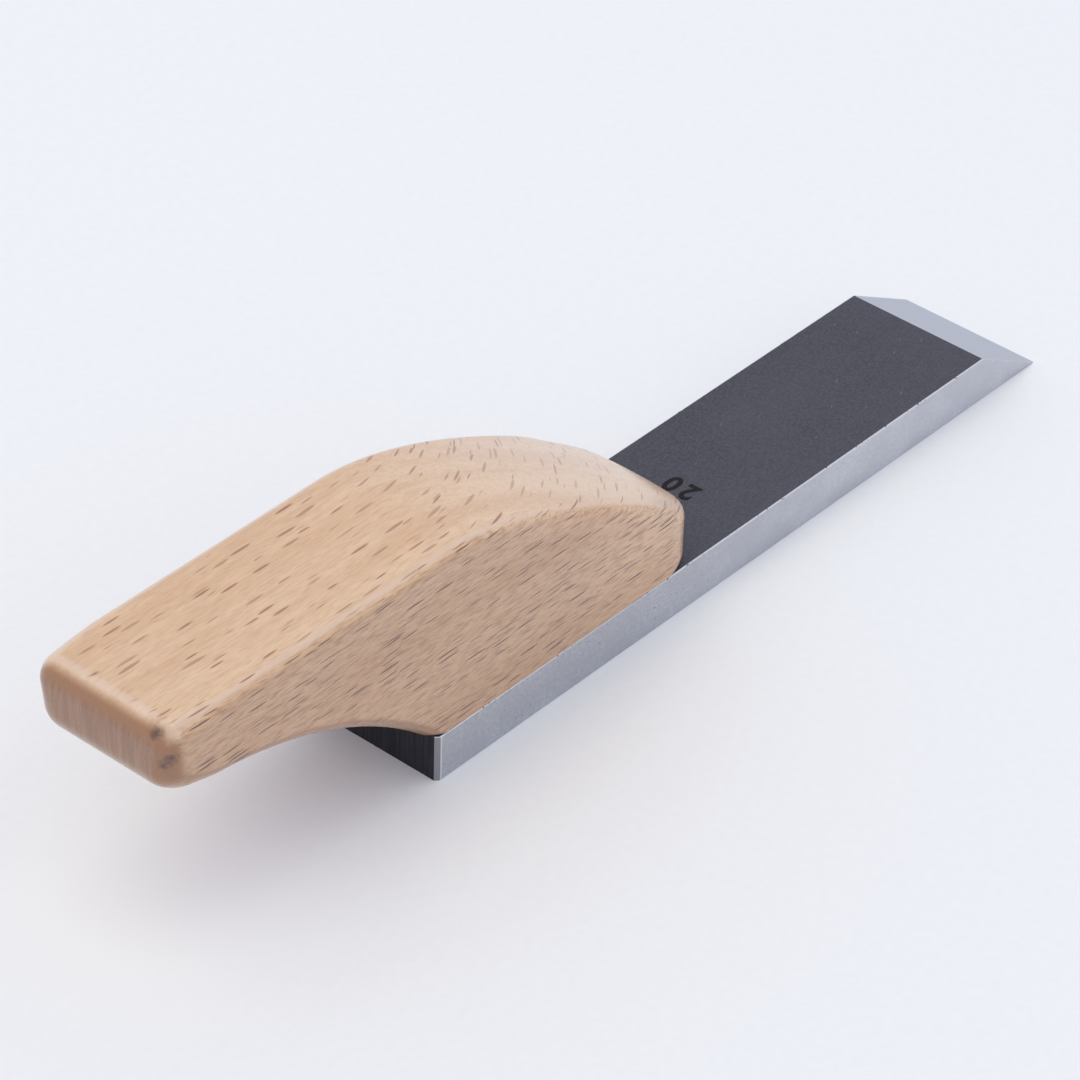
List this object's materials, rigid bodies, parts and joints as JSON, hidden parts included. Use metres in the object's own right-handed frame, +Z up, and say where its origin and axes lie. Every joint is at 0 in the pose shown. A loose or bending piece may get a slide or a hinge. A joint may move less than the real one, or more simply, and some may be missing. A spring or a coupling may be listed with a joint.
{
  "type": "flushing chisel",
  "caption": "Flat bevelled steel blade with a raised wooden grip screwed on from below, so that the sole lies flush on the work and pares it level.",
  "frame": {"origin": "on the sole's plane, under the middle of the tool's length and width", "axes": "+X towards the cutting edge along the blade, +Y to the left across the blade, +Z up from the sole"},
  "size_m": [0.1506, 0.02, 0.031],
  "materials": {
    "blade_steel": "ground sides and bevel, dark oxide top face",
    "beech": "satin oil",
    "screw_steel": "zinc plated",
    "insert_brass": "turned"
  },
  "bodies": {
    "root": {"blade": "blade_steel", "handle": "beech", "handle_screw_front": "screw_steel", "handle_screw_rear": "screw_steel", "threaded_insert_front": "insert_brass", "threaded_insert_rear": "insert_brass"}
  },
  "joints": []
}
